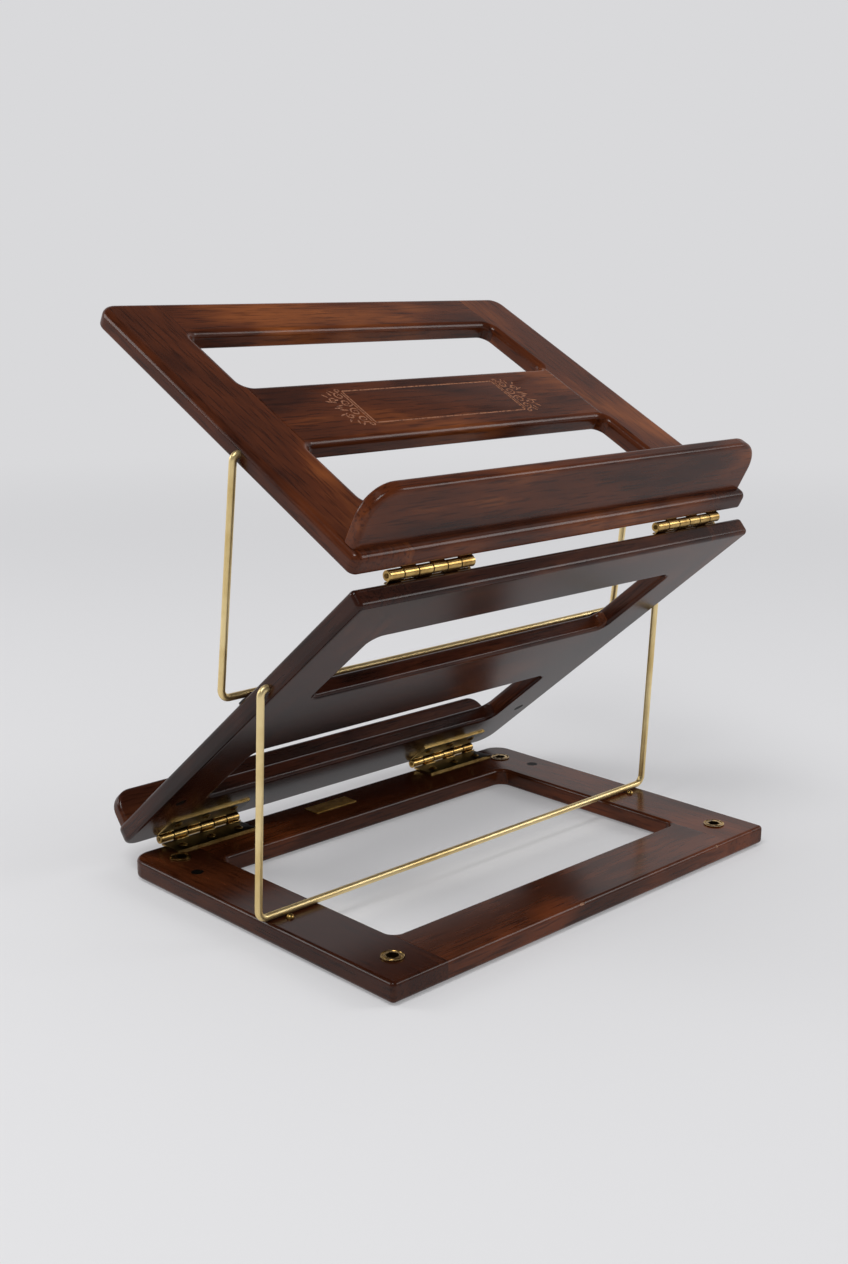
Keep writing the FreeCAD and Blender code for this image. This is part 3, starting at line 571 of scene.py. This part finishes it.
# The knuckles' end faces in the joints get the nearly black brass: painted shade in the gaps between
# the knuckles.
for face in hinge_leaf.data.polygons:
    if face.center.y > KNUCKLE_RADIUS and abs(face.normal.z) > 0.9:
        face.material_index = 1
    elif abs(face.normal.x) > 0.3 and abs(face.center.x) < HINGE_LENGTH / 2 - BRIGHT_END:
        face.material_index = 2
corners = [vertex.co.copy() for vertex in hinge_leaf.data.vertices]
face_up = max(corner.z for corner in corners if corner.y > SCREW_LINE)
strips = []
for number in range(KNUCKLES):
    start = -HINGE_LENGTH / 2 + number * KNUCKLE_PITCH
    if any(corner.y < -KNUCKLE_RADIUS / 2 and abs(corner.x - start) < NEAR for corner in corners):
        strips.append(rolled_end(start + KNUCKLE_LENGTH / 2, face_up + ROLLED_END_PROUD))
bpy.ops.object.select_all(action="DESELECT")
for part in strips + [hinge_leaf]:
    part.select_set(True)
bpy.context.view_layer.objects.active = hinge_leaf
bpy.ops.object.join()
smooth(hinge_leaf)
screws = detailed_copy("lower_left_hinge_base_screws")
screws.data.transform(first_place.inverted())
dress(screws, screw_brass)
head_up = max(vertex.co.z for vertex in screws.data.vertices)
for step in (-1, 0, 1):
    cutter = cross_cutter(*LEAF_CROSS)
    apply_place(cutter, Matrix.Translation((step * SCREW_PITCH, SCREW_LINE, head_up)))
    cut_out(screws, cutter)
smooth(screws)
for level, carrier, away, out in LEAVES:
    for hand in ("left", "right"):
        place = leaf_place(level, hand, away, out)
        for worked, kind, slot in ((hinge_leaf, "leaf", "hinge_brass"),
                                   (screws, "screws", "screw_brass")):
            name = f"{level}_{hand}_hinge_{carrier}_{kind}"
            stand_for(moved_copy(worked, f"{name}_detailed", place), name, carrier)
remove(hinge_leaf)
remove(screws)
# The pin is a dull dark brass: tarnish, and painted shade in the joints between the knuckles, where it
# shows.
dull_shaded_pin_brass = brass("dull_brass_pin_painted_shade", "#8A6A34", "#4E3A1A", 0.4, 6 * MM)
for level in ("lower", "upper"):
    for hand in ("left", "right"):
        pin = nodes[f"{level}_{hand}_hinge_pin"]
        dress(pin, dull_shaded_pin_brass)


# Wire bails: one length of drawn brass wire each, bent to a U, with its ends turned in to the
# side boards' edges, where they pivot. The wire is bright with a faint satin gloss.
wire_brass = brass("drawn_brass_wire", "#F7E0A8", "#E0C486", 0.42, 40 * MM)
for name in ("lower_bail", "upper_bail"):
    dress(nodes[name], wire_brass)


# Studio: a pale grey paper floor that fades into a pale backdrop of the same colour. The backdrop
# stands behind the object only; the ceiling and the room behind the camera are darker.
BACKDROP = "#D9D9DB"
FLOOR_FADE = (0.8, 2.4)
bpy.ops.object.select_all(action="DESELECT")
bpy.ops.mesh.primitive_plane_add(size=60)
floor = bpy.context.object
floor.name = "floor"
floor_paper, tree = new_material("pale_paper_floor")
paper = add_node(tree, "ShaderNodeBsdfDiffuse", {"Color": linear("#E8E8E9")})
far_paper = add_node(tree, "ShaderNodeEmission", {"Color": linear(BACKDROP), "Strength": 1.0})
place = add_node(tree, "ShaderNodeTexCoord")
distance = add_node(tree, "ShaderNodeVectorMath", {"operation": "LENGTH"},
                    {0: place.outputs["Object"]})
fade = add_node(tree, "ShaderNodeMapRange",
                {"interpolation_type": "SMOOTHSTEP", "From Min": FLOOR_FADE[0],
                 "From Max": FLOOR_FADE[1], "To Min": 0.3},
                {"Value": distance.outputs["Value"]})
blend = add_node(tree, "ShaderNodeMixShader", links={0: fade.outputs["Result"],
                                                     1: paper.outputs["BSDF"],
                                                     2: far_paper.outputs["Emission"]})
add_node(tree, "ShaderNodeOutputMaterial", links={"Surface": blend.outputs["Shader"]})
dress(floor, floor_paper)

# The room lights the object evenly from all round. What shines back from lacquer and brass is the
# backdrop behind it, up to about 35 degrees, and the dimmer ceiling and front of the room.
BACKDROP_TOP = (math.sin(math.radians(26)), math.sin(math.radians(44)))
AWAY_FROM_CAMERA = (0.697, 0.717, 0)
CEILING_STRENGTH = 0.12
FRONT_STRENGTH = 0.2
ROOM_STRENGTH = 0.76
world = bpy.data.worlds.new("pale_room")
bpy.context.scene.world = world
world.use_nodes = True
tree = world.node_tree
tree.nodes.clear()
place = add_node(tree, "ShaderNodeTexCoord")
direction = add_node(tree, "ShaderNodeSeparateXYZ", links={0: place.outputs["Generated"]})
height = add_node(tree, "ShaderNodeMapRange",
                  {"interpolation_type": "SMOOTHSTEP", "From Min": BACKDROP_TOP[0],
                   "From Max": BACKDROP_TOP[1], "To Min": 1.0, "To Max": CEILING_STRENGTH},
                  {"Value": direction.outputs["Z"]})
behind = add_node(tree, "ShaderNodeVectorMath", {"operation": "DOT_PRODUCT", 1: AWAY_FROM_CAMERA},
                  {0: place.outputs["Generated"]})
front = add_node(tree, "ShaderNodeMapRange",
                 {"interpolation_type": "SMOOTHSTEP", "From Min": -0.2, "From Max": 0.5,
                  "To Min": FRONT_STRENGTH, "To Max": 1.0},
                 {"Value": behind.outputs["Value"]})
mirrored = add_node(tree, "ShaderNodeMath", {"operation": "MULTIPLY"},
                    {0: height.outputs["Result"], 1: front.outputs["Result"]})
even_room = add_node(tree, "ShaderNodeBackground",
                     {"Color": linear(BACKDROP), "Strength": ROOM_STRENGTH})
mirror_room = add_node(tree, "ShaderNodeBackground", {"Color": linear(BACKDROP)},
                       {"Strength": mirrored.outputs["Value"]})
seen_room = add_node(tree, "ShaderNodeBackground", {"Color": linear(BACKDROP), "Strength": 1.0})
path = add_node(tree, "ShaderNodeLightPath")
lit = add_node(tree, "ShaderNodeMixShader", links={0: path.outputs["Is Glossy Ray"],
                                                   1: even_room.outputs["Background"],
                                                   2: mirror_room.outputs["Background"]})
chosen = add_node(tree, "ShaderNodeMixShader", links={0: path.outputs["Is Camera Ray"],
                                                      1: lit.outputs["Shader"],
                                                      2: seen_room.outputs["Background"]})
add_node(tree, "ShaderNodeOutputWorld", links={"Surface": chosen.outputs["Shader"]})


# Lamps: three square soft lights, to the right and left of the stand as the camera sees it and
# high above the camera. They draw soft highlights along the rounded edges and the brass.
STAND_CENTRE = Vector((0, 0, 0.18))


def soft_lamp(name, place, size, power):
    """A square area lamp that points at the stand."""
    bpy.ops.object.select_all(action="DESELECT")
    bpy.ops.object.light_add(type="AREA", location=place)
    lamp = bpy.context.object
    lamp.name = name
    lamp.data.size = size
    lamp.data.energy = power
    lamp.rotation_mode = "QUATERNION"
    lamp.rotation_quaternion = (STAND_CENTRE - Vector(place)).to_track_quat("-Z", "Y")


soft_lamp("right_lamp", (1.6, -1.45, 1.15), 0.85, 11)
soft_lamp("left_lamp", (-1.45, 1.65, 1.1), 0.85, 11)
soft_lamp("upper_lamp", (-1.1, -0.4, 2.1), 0.8, 18)


# Camera: a 65 mm lens on an upright frame 36 mm wide, at the photograph's angle. It stands at the
# front left of the stand and a little above it, and looks slightly down.
CAMERA_PLACE = Vector((-688.1, -677.5, 387.9)) * MM
CAMERA_AIM = Vector((0.6775, 0.6979, -0.2320))
CAMERA_ROLL = math.radians(0.30)
bpy.ops.object.select_all(action="DESELECT")
bpy.ops.object.camera_add(location=CAMERA_PLACE)
camera = bpy.context.object
camera.rotation_mode = "QUATERNION"
camera.rotation_quaternion = (CAMERA_AIM.to_track_quat("-Z", "Y")
                              @ Matrix.Rotation(CAMERA_ROLL, 3, "Z").to_quaternion())
camera.data.sensor_fit = "HORIZONTAL"
camera.data.sensor_width = 36
camera.data.lens = 64.83
camera.data.clip_start = 0.01
camera.data.clip_end = 100
bpy.context.scene.camera = camera
bpy.context.scene.view_settings.view_transform = "Standard"
